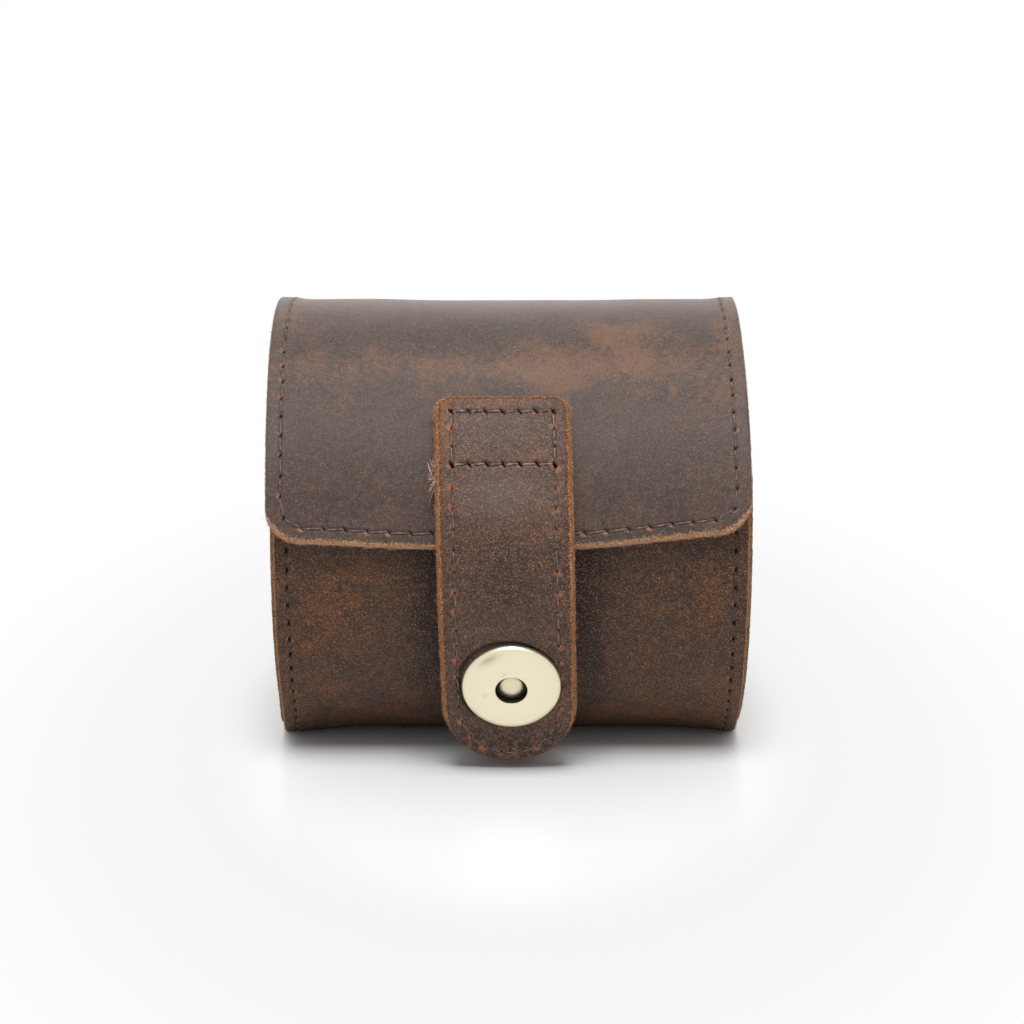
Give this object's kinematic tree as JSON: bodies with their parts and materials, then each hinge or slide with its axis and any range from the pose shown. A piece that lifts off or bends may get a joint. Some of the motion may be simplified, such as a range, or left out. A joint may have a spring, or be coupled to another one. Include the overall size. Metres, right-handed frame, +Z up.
{
  "type": "watch travel case",
  "caption": "Round leather travel case for a single watch, with a hinged flap, a strap with a magnetic snap, recessed sewn ends and a removable cushion.",
  "frame": {"origin": "centre of the small flat on which the round case rests, below the middle of its length", "axes": "+X along the case to its right end as seen from the front, -Y out of the front where the strap closes, +Z up"},
  "size_m": [0.09, 0.0943, 0.0845],
  "materials": {
    "body_leather": "satin",
    "flap_leather": "satin",
    "strap_leather": "satin",
    "end_leather": "satin",
    "lining": "matte",
    "board": "matte",
    "thread": "matte",
    "cap_brass": "satin",
    "rivet": "satin",
    "snap_steel": "satin",
    "magnet": "satin",
    "cushion_fabric": "matte",
    "foam": "matte"
  },
  "bodies": {
    "case": {"wrap_shell": "body_leather", "wrap_lining": "lining", "left_end_panel": "end_leather", "right_end_panel": "end_leather", "left_end_board": "board", "right_end_board": "board", "left_end_lining": "lining", "right_end_lining": "lining", "left_seam_thread": "thread", "right_seam_thread": "thread", "front_rim_thread": "thread", "magnet_cup": "snap_steel", "magnet_ring": "magnet", "magnet_rivet": "rivet", "magnet_washer": "snap_steel"},
    "flap": {"flap_shell": "flap_leather", "flap_lining": "lining", "flap_thread": "thread", "strap_root_outer": "strap_leather", "strap_root_backing": "strap_leather", "box_thread": "thread"},
    "strap": {"strap_outer": "strap_leather", "strap_backing": "strap_leather", "strap_thread": "thread", "snap_cap": "cap_brass", "snap_rivet": "rivet", "snap_plate": "snap_steel"},
    "cushion": {"cushion_foam": "foam", "cushion_cover": "cushion_fabric"}
  },
  "joints": [
    {"name": "flap_hinge", "type": "hinge", "parent": "case", "child": "flap", "pos_m": [0, 0.02432, 0.07573], "axis": [-1, 0, 0], "range_deg": [0, 120]},
    {"name": "strap_hinge", "type": "hinge", "parent": "flap", "child": "strap", "pos_m": [0, -0.04594, 0.06011], "axis": [-1, 0, 0], "range_deg": [0, 80]},
    {"name": "cushion_lift", "type": "slide", "parent": "case", "child": "cushion", "axis": [0, 0, 1], "range_m": [0, 0.024]}
  ]
}
